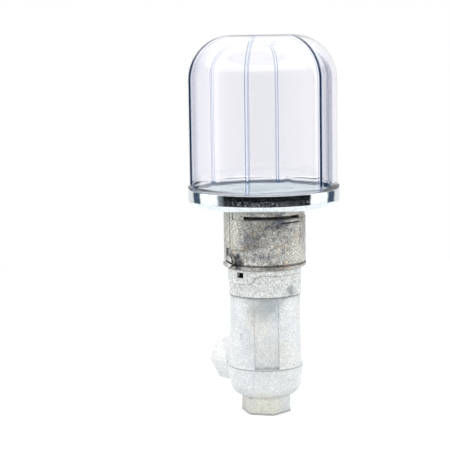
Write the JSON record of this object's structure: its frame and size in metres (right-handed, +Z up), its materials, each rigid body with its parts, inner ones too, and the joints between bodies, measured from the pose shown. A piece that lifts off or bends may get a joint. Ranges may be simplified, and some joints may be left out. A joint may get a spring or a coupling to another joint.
{
  "type": "constant level oiler",
  "caption": "Constant level oiler: clear domed reservoir bottle in a bright rolled ring, on a cast neck, sleeve and lower body with pipe ports below and at the side.",
  "frame": {"origin": "centre of the underside of the hex foot, below the bottle's axis", "axes": "+Z up along the bottle's axis, -Y towards the wrench flat at the front"},
  "size_m": [0.0662, 0.0662, 0.166],
  "materials": {
    "zinc_body": "as-cast zinc alloy, clear plated, pale and matt",
    "zinc_sleeve": "turned zinc alloy, pale and matt",
    "zinc_collar": "zinc plated sheet steel, satin",
    "zinc_neck": "as-cast zinc alloy, mottled grey",
    "zinc_hub": "as-cast zinc alloy",
    "screw_steel": "zinc plated steel",
    "bright_steel": "bright zinc plated rolled steel",
    "dish_steel": "bright zinc plated pressed steel",
    "gasket_rubber": "moulded rubber",
    "seal_rubber": "moulded rubber",
    "clear_plastic": "clear moulded plastic, faint violet tint",
    "fibre": "vulcanised fibre",
    "spout_brass": "turned brass",
    "washer_steel": "zinc plated steel",
    "nut_brass": "turned brass",
    "foot_steel": "pressed steel",
    "stem_brass": "threaded brass rod",
    "arm_brass": "brass",
    "wing_brass": "brass"
  },
  "bodies": {
    "base": {"lower_body": "zinc_body", "sleeve": "zinc_sleeve", "sleeve_seal": "seal_rubber", "adjuster_foot": "foot_steel", "level_stem": "stem_brass"},
    "collar": {"level_collar": "zinc_collar"},
    "neck": {"upper_casting": "zinc_neck"},
    "screw": {"set_screw": "screw_steel"},
    "bottle": {"reservoir_bottle": "clear_plastic", "bottle_gasket": "gasket_rubber", "collar_ring": "bright_steel", "reservoir_dish": "dish_steel", "fibre_washer": "fibre", "feed_spout": "spout_brass", "guide_hub": "zinc_hub", "lock_washer": "washer_steel", "spout_nut": "nut_brass"},
    "cross_arm": {"cross_arm": "arm_brass"},
    "wing_nut": {"lock_wing_nut": "wing_brass"}
  },
  "joints": [
    {"name": "collar_turn", "type": "hinge", "parent": "base", "child": "collar", "pos_m": [0, 0, 0.07], "axis": [0, 0, 1], "continuous": true},
    {"name": "neck_slide", "type": "slide", "parent": "collar", "child": "neck", "axis": [0, 0, 1], "range_m": [0, 0.008]},
    {"name": "screw_turn", "type": "hinge", "parent": "neck", "child": "screw", "pos_m": [-0.01501, -0.00993, 0.0687], "axis": [-0.8339, -0.5519, 0], "continuous": true},
    {"name": "bottle_lift", "type": "slide", "parent": "neck", "child": "bottle", "axis": [0, 0, 1], "range_m": [0, 0.06]},
    {"name": "cross_arm_turn", "type": "hinge", "parent": "base", "child": "cross_arm", "pos_m": [0, 0, 0.035], "axis": [0, 0, 1], "continuous": true},
    {"name": "wing_nut_turn", "type": "hinge", "parent": "base", "child": "wing_nut", "pos_m": [0, 0, 0.032], "axis": [0, 0, 1], "continuous": true}
  ]
}
